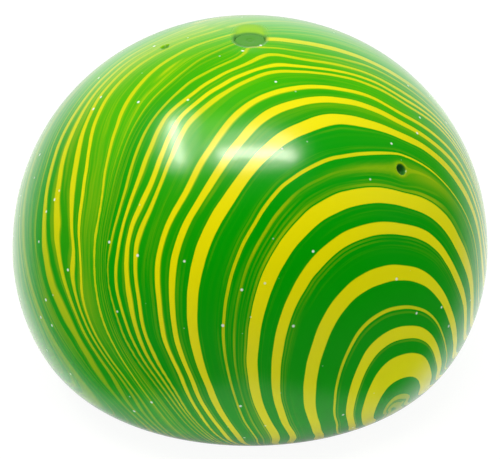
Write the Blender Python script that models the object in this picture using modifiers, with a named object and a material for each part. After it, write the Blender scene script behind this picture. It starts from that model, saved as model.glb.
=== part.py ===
"""A squishy ball: a thin moulded rubber skin, full of soft gel, closed by a push-in fill plug.

The ball is modelled as it lies on a table, sagged under its own weight into a bun with a flat foot.
Units are metres and +Z is up. The origin is the middle of the flat foot, and -Y faces the front.
"""

import math

import bpy
from mathutils import Vector

# Driving dimensions of the sagged ball, which holds as much as a free ball 70 mm across
GIRTH_RADIUS = 0.0370
GIRTH_HEIGHT = 0.0200
CROWN_HEIGHT = 0.0560
FOOT_RADIUS = 0.0255
SKIN_WALL = 0.0025
FIT_GAP = 0.0003

# How full the profile is above and below the girth: 2 is an ellipse, more is squarer
UPPER_FULLNESS = 2.07
LOWER_FULLNESS = 1.88

# The neck that the gel is poured through, moulded into the crown
DIMPLE_RADIUS = 0.0025
DIMPLE_DEPTH = 0.0025
LIP_RADIUS = 0.0012
STEM_BORE_RADIUS = 0.0015
COLLAR_RADIUS = 0.0050
COLLAR_DEPTH = 0.0065

# The fill plug, and the bead of glue under its head
HEAD_THICKNESS = 0.0011
HEAD_BEVEL = 0.0003
GLUE_THICKNESS = 0.0006
BARB_RADIUS = 0.0029
BARB_RIM = 0.0006
BARB_TIP_RADIUS = 0.0009
BARB_TAPER = 0.0017

# The air pocket that is left under the neck when the gel is poured, which the plug sinks into when pressed
POCKET_DEPTH = 0.0145

# Blind pits in the skin: height above the foot, azimuth from +X in degrees, radius and depth
PITS = {
    "front_pit": (0.0428, -38.8, 0.00085, 0.0018),
    "rear_pit": (0.0539, 172.7, 0.00065, 0.0010),
}
PIT_SIDES = 16

# Facet counts
SKIN_SEGMENTS = 64
PLUG_SEGMENTS = 32
UPPER_STEPS = 13
LOWER_STEPS = 10
LIP_STEPS = 4

# Colours are linear RGB
GREEN = (0.004, 0.250, 0.008)
DARK_GREEN = (0.003, 0.110, 0.006)
GLUE_CLEAR = (0.620, 0.600, 0.420)
GEL_PALE = (0.780, 0.760, 0.600)

NECK_SEAT = CROWN_HEIGHT - DIMPLE_DEPTH
COLLAR_FOOT = CROWN_HEIGHT - COLLAR_DEPTH
STEM_RADIUS = STEM_BORE_RADIUS - FIT_GAP
HEAD_RADIUS = DIMPLE_RADIUS - FIT_GAP


def clear_scene():
    for obj in list(bpy.data.objects):
        bpy.data.objects.remove(obj, do_unlink=True)


def new_collection(name):
    collection = bpy.data.collections.new(name)
    bpy.context.scene.collection.children.link(collection)
    return collection


def soft_material(name, colour, roughness):
    material = bpy.data.materials.new(name)
    material.use_nodes = True
    shader = material.node_tree.nodes["Principled BSDF"]
    shader.inputs["Base Color"].default_value = (*colour, 1.0)
    shader.inputs["Roughness"].default_value = roughness
    shader.inputs["Metallic"].default_value = 0.0
    return material


def crown_height_at(radius, inset=0.0):
    """Height of the upper skin at this radius, for the outer face or one that lies inset under it."""
    share = (radius / (GIRTH_RADIUS - inset)) ** UPPER_FULLNESS
    rise = CROWN_HEIGHT - inset - GIRTH_HEIGHT
    return GIRTH_HEIGHT + rise * (1.0 - share) ** (1.0 / UPPER_FULLNESS)


def upper_radius_at(height):
    """Radius of the outer skin at a height above the girth."""
    share = ((height - GIRTH_HEIGHT) / (CROWN_HEIGHT - GIRTH_HEIGHT)) ** UPPER_FULLNESS
    return GIRTH_RADIUS * (1.0 - share) ** (1.0 / UPPER_FULLNESS)


def sag_profile(top_radius, inset=0.0):
    """Points (radius, height) down the sagged ball, from a circle on the crown to the middle of the foot."""
    girth = GIRTH_RADIUS - inset
    rise = CROWN_HEIGHT - inset - GIRTH_HEIGHT
    drop = GIRTH_HEIGHT - inset
    points = []
    start = math.asin((top_radius / girth) ** (UPPER_FULLNESS / 2.0))
    for step in range(UPPER_STEPS):
        turn = start + (math.pi / 2.0 - start) * step / UPPER_STEPS
        radius = girth * math.sin(turn) ** (2.0 / UPPER_FULLNESS)
        height = GIRTH_HEIGHT + rise * math.cos(turn) ** (2.0 / UPPER_FULLNESS)
        points.append((radius, height))
    for step in range(LOWER_STEPS):
        turn = math.pi / 2.0 * step / LOWER_STEPS
        radius = FOOT_RADIUS + (girth - FOOT_RADIUS) * math.cos(turn) ** (2.0 / LOWER_FULLNESS)
        height = GIRTH_HEIGHT - drop * math.sin(turn) ** (2.0 / LOWER_FULLNESS)
        points.append((radius, height))
    points.append((FOOT_RADIUS, inset))
    points.append((0.0, inset))
    return points


def lip_profile():
    """Points up the rounded lip, from the wall of the dimple out to the crown."""
    centre_radius = DIMPLE_RADIUS + LIP_RADIUS
    centre_height = crown_height_at(centre_radius) - LIP_RADIUS
    points = []
    for step in range(LIP_STEPS):
        turn = math.pi / 2.0 * step / LIP_STEPS
        radius = centre_radius - LIP_RADIUS * math.cos(turn)
        height = centre_height + LIP_RADIUS * math.sin(turn)
        points.append((radius, height))
    return points


def skin_profile():
    """The skin's section: up the inside, round the collar and the neck, and down the outside."""
    inside = sag_profile(COLLAR_RADIUS, SKIN_WALL)
    inside.reverse()
    neck = [
        (COLLAR_RADIUS, COLLAR_FOOT),
        (STEM_BORE_RADIUS, COLLAR_FOOT),
        (STEM_BORE_RADIUS, NECK_SEAT),
        (DIMPLE_RADIUS, NECK_SEAT),
    ]
    return inside + neck + lip_profile() + sag_profile(DIMPLE_RADIUS + LIP_RADIUS)


def gel_profile():
    """The filling's section, with the air pocket at the top that clears the collar and the plug's barb."""
    pocket_radius = COLLAR_RADIUS + FIT_GAP
    pocket_floor = CROWN_HEIGHT - POCKET_DEPTH
    return [(0.0, pocket_floor), (pocket_radius, pocket_floor)] + sag_profile(
        pocket_radius, SKIN_WALL + FIT_GAP
    )


def plug_profile(origin_height):
    """The plug's section from the middle of its head down to its tip, measured from its own origin."""
    head_foot = NECK_SEAT + GLUE_THICKNESS + 2.0 * FIT_GAP - origin_height
    head_top = head_foot + HEAD_THICKNESS
    barb_top = COLLAR_FOOT - FIT_GAP - origin_height
    tip = barb_top - BARB_RIM - BARB_TAPER
    return [
        (0.0, head_top),
        (HEAD_RADIUS - HEAD_BEVEL, head_top),
        (HEAD_RADIUS, head_top - HEAD_BEVEL),
        (HEAD_RADIUS, head_foot),
        (STEM_RADIUS, head_foot),
        (STEM_RADIUS, barb_top),
        (BARB_RADIUS, barb_top),
        (BARB_RADIUS, barb_top - BARB_RIM),
        (BARB_TIP_RADIUS, tip),
        (0.0, tip),
    ]


def glue_profile(origin_height):
    """The glue ring's section, a closed loop round the stem between the seat and the head."""
    foot = NECK_SEAT + FIT_GAP - origin_height
    top = foot + GLUE_THICKNESS
    return [(STEM_BORE_RADIUS, top), (HEAD_RADIUS, top), (HEAD_RADIUS, foot), (STEM_BORE_RADIUS, foot)]


def turned(name, profile, segments, material, collection, closed_loop=False):
    """A solid turned about Z from a profile of (radius, height) points."""
    count = len(profile)
    edges = [(index, index + 1) for index in range(count - 1)]
    if closed_loop:
        edges.append((count - 1, 0))
    mesh = bpy.data.meshes.new(name)
    mesh.from_pydata([(radius, 0.0, height) for radius, height in profile], edges, [])
    mesh.materials.append(material)
    obj = bpy.data.objects.new(name, mesh)
    collection.objects.link(obj)
    screw = obj.modifiers.new("Turn", "SCREW")
    screw.axis = "Z"
    screw.steps = segments
    screw.render_steps = segments
    screw.use_merge_vertices = True
    screw.merge_threshold = 0.00001
    screw.use_smooth_shade = True
    return obj


def surface_frame(height, azimuth_degrees):
    """A point on the upper skin and the direction straight out of the skin there."""
    radius = upper_radius_at(height)
    azimuth = math.radians(azimuth_degrees)
    slope_out = (radius / GIRTH_RADIUS) ** (UPPER_FULLNESS - 1.0) / GIRTH_RADIUS
    rise = CROWN_HEIGHT - GIRTH_HEIGHT
    slope_up = ((height - GIRTH_HEIGHT) / rise) ** (UPPER_FULLNESS - 1.0) / rise
    outward = Vector((math.cos(azimuth), math.sin(azimuth), 0.0))
    normal = (outward * slope_out + Vector((0.0, 0.0, slope_up))).normalized()
    return outward * radius + Vector((0.0, 0.0, height)), normal


def cut_pit(skin, name, size, cutters):
    """Sinks one blind round pit straight into the skin."""
    height, azimuth, radius, depth = size
    point, normal = surface_frame(height, azimuth)
    bpy.ops.mesh.primitive_cylinder_add(vertices=PIT_SIDES, radius=radius, depth=2.0 * depth, location=point)
    cutter = bpy.context.object
    cutter.name = name + "_cutter"
    cutter.rotation_mode = "QUATERNION"
    cutter.rotation_quaternion = normal.to_track_quat("Z", "Y")
    cutter.hide_render = True
    cutter.display_type = "WIRE"
    for collection in list(cutter.users_collection):
        collection.objects.unlink(cutter)
    cutters.objects.link(cutter)
    cut = skin.modifiers.new(name, "BOOLEAN")
    cut.operation = "DIFFERENCE"
    cut.solver = "EXACT"
    cut.object = cutter


def make_skin(parts, cutters):
    rubber = soft_material("moulded_rubber_green", GREEN, 0.25)
    skin = turned("marbled_skin", skin_profile(), SKIN_SEGMENTS, rubber, parts)
    for name, size in PITS.items():
        cut_pit(skin, name, size, cutters)


def make_filling(parts):
    gel = soft_material("soft_gel", GEL_PALE, 0.15)
    turned("gel_filling", gel_profile(), SKIN_SEGMENTS, gel, parts)


def make_plug(parts):
    """The plug and its glue ride on an empty at the neck's seat, on the axis that a press moves them along."""
    press = bpy.data.objects.new("crown_press_axis", None)
    press.location = (0.0, 0.0, NECK_SEAT)
    parts.objects.link(press)
    rubber = soft_material("plug_rubber_dark_green", DARK_GREEN, 0.35)
    glue = soft_material("cured_clear_glue", GLUE_CLEAR, 0.20)
    plug = turned("fill_plug", plug_profile(NECK_SEAT), PLUG_SEGMENTS, rubber, parts)
    ring = turned("plug_glue_ring", glue_profile(NECK_SEAT), PLUG_SEGMENTS, glue, parts, closed_loop=True)
    plug.parent = press
    ring.parent = press


def main():
    clear_scene()
    parts = new_collection("squishy_ball")
    cutters = new_collection("cutters")
    make_skin(parts, cutters)
    make_filling(parts)
    make_plug(parts)


main()
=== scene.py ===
# %% [markdown]
# # A marbled squishy ball
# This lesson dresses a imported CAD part: a soft ball that lies sagged on a table. The real toy is a thin
# moulded rubber skin, green with yellow streaks, full of gel and closed by a small glued plug at the top.
# We load the CAD first and never move it, because the physics model uses the same frame. Every piece we
# build replaces one CAD node and rides on the body that the node belongs to.

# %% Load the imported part
import math

import bmesh
import bpy
import numpy as np
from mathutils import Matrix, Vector


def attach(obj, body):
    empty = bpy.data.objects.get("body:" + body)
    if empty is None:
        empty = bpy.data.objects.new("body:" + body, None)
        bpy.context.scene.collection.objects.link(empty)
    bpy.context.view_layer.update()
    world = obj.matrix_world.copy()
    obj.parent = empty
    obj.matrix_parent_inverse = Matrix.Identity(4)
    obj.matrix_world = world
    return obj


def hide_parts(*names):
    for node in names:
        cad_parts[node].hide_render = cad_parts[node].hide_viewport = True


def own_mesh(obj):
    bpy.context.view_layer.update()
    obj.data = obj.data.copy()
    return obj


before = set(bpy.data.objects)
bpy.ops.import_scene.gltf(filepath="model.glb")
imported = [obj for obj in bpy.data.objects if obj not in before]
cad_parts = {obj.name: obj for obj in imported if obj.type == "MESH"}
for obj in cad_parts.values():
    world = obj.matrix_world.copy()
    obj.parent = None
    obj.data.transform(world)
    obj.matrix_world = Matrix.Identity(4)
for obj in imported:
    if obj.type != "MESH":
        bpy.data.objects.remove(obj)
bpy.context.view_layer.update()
MM = 0.001
print("CAD nodes:", sorted(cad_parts))

# %% [markdown]
# ## A few small helpers
# Designers write colours as sRGB hex codes, but Blender's sockets hold linear light, so one function
# converts them. Another adds a node with its settings and links: an input may be a plain value, an output
# of another node, or a whole node, which then stands for its output in use. Everything else about a
# material is plain data, which is easier to read than a page of node calls.

# %% Helpers for colours and nodes
def hex_to_linear(code):
    """Turns an sRGB hex colour into linear RGBA."""
    channels = [int(code[place:place + 2], 16) / 255.0 for place in (0, 2, 4)]
    linear = [c / 12.92 if c <= 0.04045 else ((c + 0.055) / 1.055) ** 2.4 for c in channels]
    return (*linear, 1.0)


def wire(tree, node, inputs):
    """Links a node's input sockets to other nodes or their outputs, or sets them to plain values."""
    for socket, value in inputs.items():
        if isinstance(value, bpy.types.Node):
            value = next(output for output in value.outputs if output.enabled)
        if isinstance(value, bpy.types.NodeSocket):
            tree.links.new(value, node.inputs[socket])
        else:
            node.inputs[socket].default_value = value


def add_node(tree, kind, inputs=None, **settings):
    """Adds a node: settings are its properties, and inputs are wired by socket."""
    node = tree.nodes.new(kind)
    for name, value in settings.items():
        setattr(node, name, value)
    wire(tree, node, inputs or {})
    return node


def new_material(name):
    """An empty node material with its output and its Principled shader."""
    material = bpy.data.materials.new(name)
    material.use_nodes = True
    shader = material.node_tree.nodes["Principled BSDF"]
    return material, material.node_tree, shader


print("linear green:", [round(c, 3) for c in hex_to_linear("00a000")])

# %% [markdown]
# ## The camera
# The photograph was taken from 27 degrees above the table with a long lens: the ball's outline shows
# almost no perspective. We set the camera from three measured numbers, its height angle, its distance and
# how many pixels the ball's radius covers, and let the focal length follow from them.

# %% Camera at the photograph's angle
IMAGE_WIDTH = 500.0
RADIUS_ON_IMAGE = 237.8
CAMERA_RISE = math.radians(26.9)
CAMERA_DISTANCE = 740.0 * MM
AIM = Vector((0.0, 0.0, 23.4 * MM))
BALL_RADIUS = 37.0 * MM

lens_data = bpy.data.cameras.new("photo_camera")
camera = bpy.data.objects.new("photo_camera", lens_data)
bpy.context.scene.collection.objects.link(camera)
backward = Vector((0.0, -math.cos(CAMERA_RISE), math.sin(CAMERA_RISE)))
camera.location = AIM + backward * CAMERA_DISTANCE
camera.rotation_mode = "QUATERNION"
camera.rotation_quaternion = (-backward).to_track_quat("-Z", "Y")
focal_pixels = RADIUS_ON_IMAGE * CAMERA_DISTANCE / BALL_RADIUS
lens_data.lens = lens_data.sensor_width * focal_pixels / IMAGE_WIDTH
lens_data.clip_start = 10.0 * MM
lens_data.clip_end = 20.0
bpy.context.scene.camera = camera
print("focal length:", round(lens_data.lens, 1), "mm")

# %% [markdown]
# ## The sagged outline
# A ball of gel can't stay round: it spreads until the skin carries the weight. Half of the outline, seen
# from the side, is a line that we can turn round the upright axis. We use the CAD's own sizes, and walk
# along the line in even steps so that no face is stretched.

# %% Half outline of the ball, in millimetres
GIRTH_RADIUS, GIRTH_HEIGHT = 37.0, 20.0
CROWN_HEIGHT, FOOT_RADIUS = 56.0, 25.5
UPPER_FULLNESS, LOWER_FULLNESS = 2.07, 1.88
SKIN_WALL, FIT_GAP = 2.5, 0.3
QUARTER_SAMPLES, FOOT_SAMPLES = 900, 200
QUARTER = np.linspace(0.0, math.pi / 2.0, QUARTER_SAMPLES)


def sagged_outline(inset=0.0):
    """Points (radius, height) from the crown down to the middle of the foot, inset under the outer skin."""
    girth = GIRTH_RADIUS - inset
    rise = CROWN_HEIGHT - GIRTH_HEIGHT - inset
    drop = GIRTH_HEIGHT - inset
    upper_r = girth * np.sin(QUARTER) ** (2.0 / UPPER_FULLNESS)
    upper_z = GIRTH_HEIGHT + rise * np.cos(QUARTER) ** (2.0 / UPPER_FULLNESS)
    lower_r = FOOT_RADIUS + (girth - FOOT_RADIUS) * np.cos(QUARTER) ** (2.0 / LOWER_FULLNESS)
    lower_z = GIRTH_HEIGHT - drop * np.sin(QUARTER) ** (2.0 / LOWER_FULLNESS)
    foot_r = np.linspace(FOOT_RADIUS, 0.0, FOOT_SAMPLES)[1:]
    radius = np.concatenate([upper_r, lower_r[1:], foot_r])
    height = np.concatenate([upper_z, lower_z[1:], np.full(len(foot_r), inset)])
    return np.stack([radius, height], axis=1)


def length_along(line):
    """Distance along a line of points, starting at 0."""
    steps = np.linalg.norm(np.diff(line, axis=0), axis=1)
    return np.concatenate([[0.0], np.cumsum(steps)])


def even_steps(line, step):
    """The same line with points about step apart."""
    along = length_along(line)
    places = np.linspace(0.0, along[-1], max(2, int(round(along[-1] / step)) + 1))
    return np.stack([np.interp(places, along, line[:, axis]) for axis in (0, 1)], axis=1)


OUTER = sagged_outline()
OUTER_ALONG = length_along(OUTER)
print("outline from crown to foot:", round(OUTER_ALONG[-1], 1), "mm")

# %% [markdown]
# ## The skin's section
# The skin is a wall 2.5 mm thick with a filling neck at the crown: a dimple with a rolled lip, a narrow
# bore for the plug's stem, and a collar that hangs inside. A real moulding has no knife edges, so each
# corner of the neck gets a small fillet, made with a quadratic curve through the corner.

# %% Helpers for sections
CURVE_STEPS = (0.0, 0.25, 0.5, 0.75, 1.0)
LONGEST_FILLET = 0.45


def filleted(corners, size):
    """A line through corners, with each inner corner rounded over the given length."""
    corners = np.asarray(corners, float)
    line = [corners[0]]
    for before, corner, after in zip(corners, corners[1:], corners[2:]):
        back, ahead = before - corner, after - corner
        back_length, ahead_length = np.linalg.norm(back), np.linalg.norm(ahead)
        reach = min(size, LONGEST_FILLET * back_length, LONGEST_FILLET * ahead_length)
        start, end = corner + back / back_length * reach, corner + ahead / ahead_length * reach
        for t in CURVE_STEPS:
            line.append((1 - t) ** 2 * start + 2 * t * (1 - t) * corner + t ** 2 * end)
    line.append(corners[-1])
    return np.array(line)


def part_beyond(line, radius):
    """The part of an outline that lies outside a radius at the crown, starting exactly on that radius."""
    first = int(np.argmax(line[:, 0] > radius))
    height = np.interp(radius, line[:first + 1, 0], line[:first + 1, 1])
    return np.concatenate([[(radius, height)], line[first:]])


print("a fillet takes at most", LONGEST_FILLET, "of a side")

# %% Section of the skin with its neck
DIMPLE_RADIUS, DIMPLE_DEPTH, LIP_RADIUS = 2.5, 2.5, 1.2
BORE_RADIUS, COLLAR_RADIUS, COLLAR_DEPTH = 1.5, 5.0, 6.5
NECK_SEAT = CROWN_HEIGHT - DIMPLE_DEPTH
COLLAR_FOOT = CROWN_HEIGHT - COLLAR_DEPTH
NECK_FILLET, UNDER_LIP, LIP_STEPS = 0.35, 0.3, 8
OUTER_STEP, INNER_STEP = 0.62, 2.4
lip_outer = DIMPLE_RADIUS + LIP_RADIUS
outside = even_steps(part_beyond(OUTER, lip_outer), OUTER_STEP)
lip_turns = np.linspace(0.0, math.pi / 2.0, LIP_STEPS, endpoint=False)
lip = np.stack([
    lip_outer - LIP_RADIUS * np.cos(lip_turns),
    outside[0, 1] - LIP_RADIUS + LIP_RADIUS * np.sin(lip_turns),
], axis=1)
inside = even_steps(part_beyond(sagged_outline(SKIN_WALL), COLLAR_RADIUS), INNER_STEP)[::-1]
neck = filleted([
    inside[-1],
    (COLLAR_RADIUS, COLLAR_FOOT),
    (BORE_RADIUS, COLLAR_FOOT),
    (BORE_RADIUS, NECK_SEAT),
    (DIMPLE_RADIUS, NECK_SEAT),
    (DIMPLE_RADIUS, lip[0, 1] - UNDER_LIP),
], NECK_FILLET)
skin_section = np.concatenate([inside[:-1], neck, lip, outside])
print("points in the skin's section:", len(skin_section), "of which outside:", len(outside))

# %% [markdown]
# ## Turning a section into a mesh
# Blender has a Screw modifier for this, but we need the finished vertices at once, to write the marbling
# on them. So we place the rings of vertices ourselves and join them with quads. A point on the axis
# becomes one shared vertex with a fan of triangles, so the poles stay closed.

# %% A function that turns sections
ON_AXIS = 1e-6


def turned_mesh(name, section, segments, closed=False):
    """A mesh object turned about Z from (radius, height) points in millimetres."""
    turns = np.linspace(0.0, 2.0 * math.pi, segments, endpoint=False)
    points, rings = [], []
    for radius, height in section:
        if radius < ON_AXIS:
            rings.append([len(points)] * segments)
            points.append((0.0, 0.0, height * MM))
        else:
            rings.append(list(range(len(points), len(points) + segments)))
            away = radius * MM
            points.extend((away * math.cos(t), away * math.sin(t), height * MM) for t in turns)
    pairs = list(zip(rings, rings[1:]))
    if closed:
        pairs.append((rings[-1], rings[0]))
    faces = []
    for ring, following in pairs:
        for index in range(segments):
            after = (index + 1) % segments
            corners = [ring[index], ring[after], following[after], following[index]]
            faces.append(list(dict.fromkeys(corners)))
    mesh = bpy.data.meshes.new(name)
    mesh.from_pydata(points, [], faces)
    mesh.validate()
    surface = bmesh.new()
    surface.from_mesh(mesh)
    bmesh.ops.recalc_face_normals(surface, faces=surface.faces)
    surface.to_mesh(mesh)
    surface.free()
    mesh.shade_smooth()
    obj = bpy.data.objects.new(name, mesh)
    bpy.context.scene.collection.objects.link(obj)
    return obj


SKIN_SEGMENTS = 320
skin = turned_mesh("marbled_rubber_skin", skin_section, SKIN_SEGMENTS)
print("skin faces:", len(skin.data.polygons))

# %% [markdown]
# ## Blind pits
# Pins in the mould left two small pits, one on the right shoulder and a fainter one behind the crown. A pit
# is too small for the even grid, so we first subdivide the faces round it, twice, and then push the
# vertices straight in along the skin's normal, with a soft rim. A Boolean would leave a hard edge that
# moulded rubber doesn't have. The spot that the marbling turns round, which we call its eye, is subdivided
# too, because its rings are the tightest on the ball.

# %% Helpers to find and refine places on the skin
def skin_place(height, azimuth):
    """A point on the upper skin and the way straight out of it, from a height and an azimuth off +X."""
    rise = CROWN_HEIGHT - GIRTH_HEIGHT
    share = ((height - GIRTH_HEIGHT) / rise) ** UPPER_FULLNESS
    radius = GIRTH_RADIUS * (1.0 - share) ** (1.0 / UPPER_FULLNESS)
    out = np.array([math.cos(math.radians(azimuth)), math.sin(math.radians(azimuth)), 0.0])
    lean_out = (radius / GIRTH_RADIUS) ** (UPPER_FULLNESS - 1.0) / GIRTH_RADIUS
    lean_up = ((height - GIRTH_HEIGHT) / rise) ** (UPPER_FULLNESS - 1.0) / rise
    normal = out * lean_out + np.array([0.0, 0.0, lean_up])
    return out * radius + np.array([0.0, 0.0, height]), normal / np.linalg.norm(normal)


def refine_round(obj, centre, reach, cuts):
    """Subdivides the faces whose middle lies within reach of a point, all in millimetres."""
    surface = bmesh.new()
    surface.from_mesh(obj.data)
    target = Vector(centre) * MM
    near = [face for face in surface.faces if (face.calc_center_median() - target).length < reach * MM]
    edges = list({edge for face in near for edge in face.edges})
    bmesh.ops.subdivide_edges(surface, edges=edges, cuts=cuts, use_grid_fill=True)
    surface.to_mesh(obj.data)
    surface.free()


def ease(low, high, values):
    """0 below low, 1 above high and a smooth S between them."""
    share = np.clip((values - low) / (high - low), 0.0, 1.0)
    return share * share * (3.0 - 2.0 * share)


def points_of(obj):
    """A mesh's vertices in millimetres."""
    flat = np.zeros(len(obj.data.vertices) * 3)
    obj.data.vertices.foreach_get("co", flat)
    return flat.reshape(-1, 3) / MM


print("1 mm above the girth the skin lies at", skin_place(GIRTH_HEIGHT + 1.0, 0.0)[0].round(2), "mm")

# %% Refine the mesh round the pits and the eye
# Rows: height, azimuth off +X in degrees, radius, depth, rim, and the edges of the wall in radii
PITS = {
    "front_pit": (42.8, -38.8, 0.85, 1.0, 0.06, (0.62, 1.10)),
    "rear_pit": (53.9, 172.7, 0.65, 0.3, 0.02, (0.20, 1.52)),
}
EYE_FROM_TOP, EYE_TO_RIGHT = math.radians(122.0), math.radians(41.5)
PIT_REFINED, EYE_REFINED, CUTS = (2.6, 1.7), 6.5, 2
for pit_height, pit_azimuth, pit_radius, *_ in PITS.values():
    for radii in PIT_REFINED:
        refine_round(skin, skin_place(pit_height, pit_azimuth)[0], radii * pit_radius, CUTS)
eye_radius, eye_height = [
    np.interp(EYE_FROM_TOP / math.pi * OUTER_ALONG[-1], OUTER_ALONG, OUTER[:, axis]) for axis in (0, 1)
]
eye_place = (eye_radius * math.sin(EYE_TO_RIGHT), -eye_radius * math.cos(EYE_TO_RIGHT), eye_height)
refine_round(skin, eye_place, EYE_REFINED, CUTS)
skin_rest = points_of(skin)
print("skin vertices after refining:", len(skin_rest))

# %% Sink the pits, and note where shade is painted into them and where they are smeared
PIT_ZONE, OUTER_SIDE = 4.0, -1.2
RIM_AT, RIM_SPREAD = 1.3, 0.2
SHADE_EDGE, FULL_SHADE_DEPTH = (0.95, 1.15), 0.5
RING_AT, RING_SPREAD, FULL_RING_RIM = 1.22, 0.14, 0.06
skin_moved = skin_rest.copy()
pit_shade = np.zeros(len(skin_rest))
pit_ring = np.zeros(len(skin_rest))
for pit_height, pit_azimuth, pit_radius, pit_depth, pit_rim, pit_wall in PITS.values():
    pit_centre, pit_out = skin_place(pit_height, pit_azimuth)
    away = skin_rest - pit_centre
    level = away @ pit_out
    radii = np.linalg.norm(away - np.outer(level, pit_out), axis=1) / pit_radius
    at_pit = (level > OUTER_SIDE) & (radii < PIT_ZONE)
    sink = pit_depth * (1.0 - ease(*pit_wall, radii))
    rim = pit_rim * np.exp(-((radii - RIM_AT) / RIM_SPREAD) ** 2)
    skin_moved += np.outer(np.where(at_pit, rim - sink, 0.0), pit_out)
    # Painted shade: inside a pit the colour goes to a darker green, fuller for a deeper pit.
    shade = (1.0 - ease(*SHADE_EDGE, radii)) * min(1.0, pit_depth / FULL_SHADE_DEPTH)
    pit_shade = np.maximum(pit_shade, np.where(at_pit, shade, 0.0))
    ring = np.exp(-((radii - RING_AT) / RING_SPREAD) ** 2) * min(1.0, pit_rim / FULL_RING_RIM)
    pit_ring = np.maximum(pit_ring, np.where(at_pit, ring, 0.0))
print("deepest pit vertex moved by", round(np.linalg.norm(skin_moved - skin_rest, axis=1).max(), 2), "mm")

# %% [markdown]
# ## The mouth of the neck
# Pushing the plug in dragged the dimple's lip along. In front and at the sides the lip closes in on the
# plug's head, and behind it was drawn out into a gentle slope that faces the camera. We pull the lip
# inwards all round and shift its rear half backwards, and both fade out over the crown. Then we set the
# heights again: a slope up from the head to the crown on the lip, and the crown's own height beyond it.

# %% Drag the lip backwards
LIP_SIDE, LIP_FRONT, LIP_BACK, WALL_TOP = 2.38, 2.37, 6.0, 2.36
LIP_FADE, TOUCHING = 11.0, 0.01
skin_radius = np.maximum(np.hypot(skin_rest[:, 0], skin_rest[:, 1]), ON_AXIS)
skin_height = skin_rest[:, 2]
backness = skin_rest[:, 1] / skin_radius
backward_share = ease(0.0, 1.0, backness)
forward_share = np.clip(-backness, 0.0, 1.0) ** 2
near_neck = (skin_radius > DIMPLE_RADIUS - TOUCHING) & (skin_radius < LIP_FADE)
on_lip = near_neck & (skin_height > lip[0, 1] - TOUCHING)
outwards = np.clip((skin_radius - DIMPLE_RADIUS) / LIP_RADIUS, 0.0, 1.0)
drag = np.where(on_lip, outwards * (1.0 - ease(lip_outer, LIP_FADE, skin_radius)), 0.0)
lip_place = LIP_SIDE + (LIP_FRONT - LIP_SIDE) * forward_share
wall_pull = np.where(on_lip, (1.0 - outwards) * (WALL_TOP - DIMPLE_RADIUS), 0.0)
pull = drag * (lip_place - lip_outer) + wall_pull
skin_moved[:, :2] *= (1.0 + pull / skin_radius)[:, None]
skin_moved[:, 1] += drag * backward_share * (LIP_BACK - LIP_SIDE)
print("the lip lies", LIP_FRONT, "mm in front of the axis and", LIP_BACK, "mm behind it")

# %% Set the heights of the lip and the crown round it
SLOPE_FOOT, SLOPE_CURVE = 55.72, 0.7
FRONT_LIFT, FRONT_SPREAD = -0.12, 1.6


def crown_height(radius):
    """Height of the outer crown at a radius."""
    return np.interp(radius, OUTER[:QUARTER_SAMPLES, 0], OUTER[:QUARTER_SAMPLES, 1])


moved_radius = np.hypot(skin_moved[:, 0], skin_moved[:, 1])
slope_height = SLOPE_FOOT + (crown_height(moved_radius) - SLOPE_FOOT) * outwards ** SLOPE_CURVE
crown_change = crown_height(moved_radius) - crown_height(skin_radius)
on_slope = on_lip & (skin_radius < lip_outer - TOUCHING)
lift = FRONT_LIFT * forward_share * outwards * np.exp(-((skin_radius - lip_outer) / FRONT_SPREAD) ** 2)
skin_moved[:, 2] += np.where(on_slope, slope_height - skin_height, 0.0)
skin_moved[:, 2] += np.where(on_lip & ~on_slope, crown_change, 0.0)
skin_moved[:, 2] += np.where(on_lip, lift, 0.0)
skin.data.vertices.foreach_set("co", (skin_moved * MM).ravel())
skin.data.update()
print("vertices moved on the lip and the crown:", int(on_lip.sum()))

# %% [markdown]
# ## Where each ring of the marbling runs
# The two colours went into the mould together, and the flow drew them out into rings round the eye, low on
# the right. The rings aren't round: they reach far on one side and crowd together on the other. We
# describe that with a formula on the ball as it was moulded, before it sagged. Each vertex gets its
# reach, the distance of its ring from the eye along the longest line, in millimetres, and its heading, the
# angle round the eye from that line, positive to the left. Stored on the mesh, the pattern sticks to the
# rubber when the ball is squeezed.

# %% Directions on the ball as it was moulded
MOULD_RADIUS = 35.0


def moulded_direction(points):
    """Unit directions on the round ball, found from how far down the outline each point lies."""
    radius = np.hypot(points[:, 0], points[:, 1])
    slant = np.arctan2(radius, points[:, 2] - GIRTH_HEIGHT)
    outline_slant = np.arctan2(OUTER[:, 0], OUTER[:, 1] - GIRTH_HEIGHT)
    down = math.pi * np.interp(slant, outline_slant, OUTER_ALONG) / OUTER_ALONG[-1]
    right = np.arctan2(points[:, 0], -points[:, 1])
    return np.stack([np.sin(down) * np.sin(right), -np.sin(down) * np.cos(right), np.cos(down)], axis=1)


eye = np.array([
    math.sin(EYE_FROM_TOP) * math.sin(EYE_TO_RIGHT),
    -math.sin(EYE_FROM_TOP) * math.cos(EYE_TO_RIGHT),
    math.cos(EYE_FROM_TOP),
])
eye_up = np.array([0.0, 0.0, 1.0]) - eye * eye[2]
eye_up /= np.linalg.norm(eye_up)
eye_side = np.cross(eye, eye_up)
print("the eye lies towards", eye.round(2))

# %% Reach and heading of every vertex
LEAD, POINTED, EVEN_OUT = 0.78, 0.10, 6
LEAD_HEADING = math.radians(17.5)
BEYOND_SHARE = 0.4


def lopsided(angle, heading):
    """How far out a ring counts at an angle from the eye: less along the lead heading, more behind."""
    fade = 1.0 - (angle / math.pi) ** EVEN_OUT
    return angle * (1.0 - fade * (LEAD * np.cos(heading) - POINTED * np.cos(2.0 * heading)))


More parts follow.
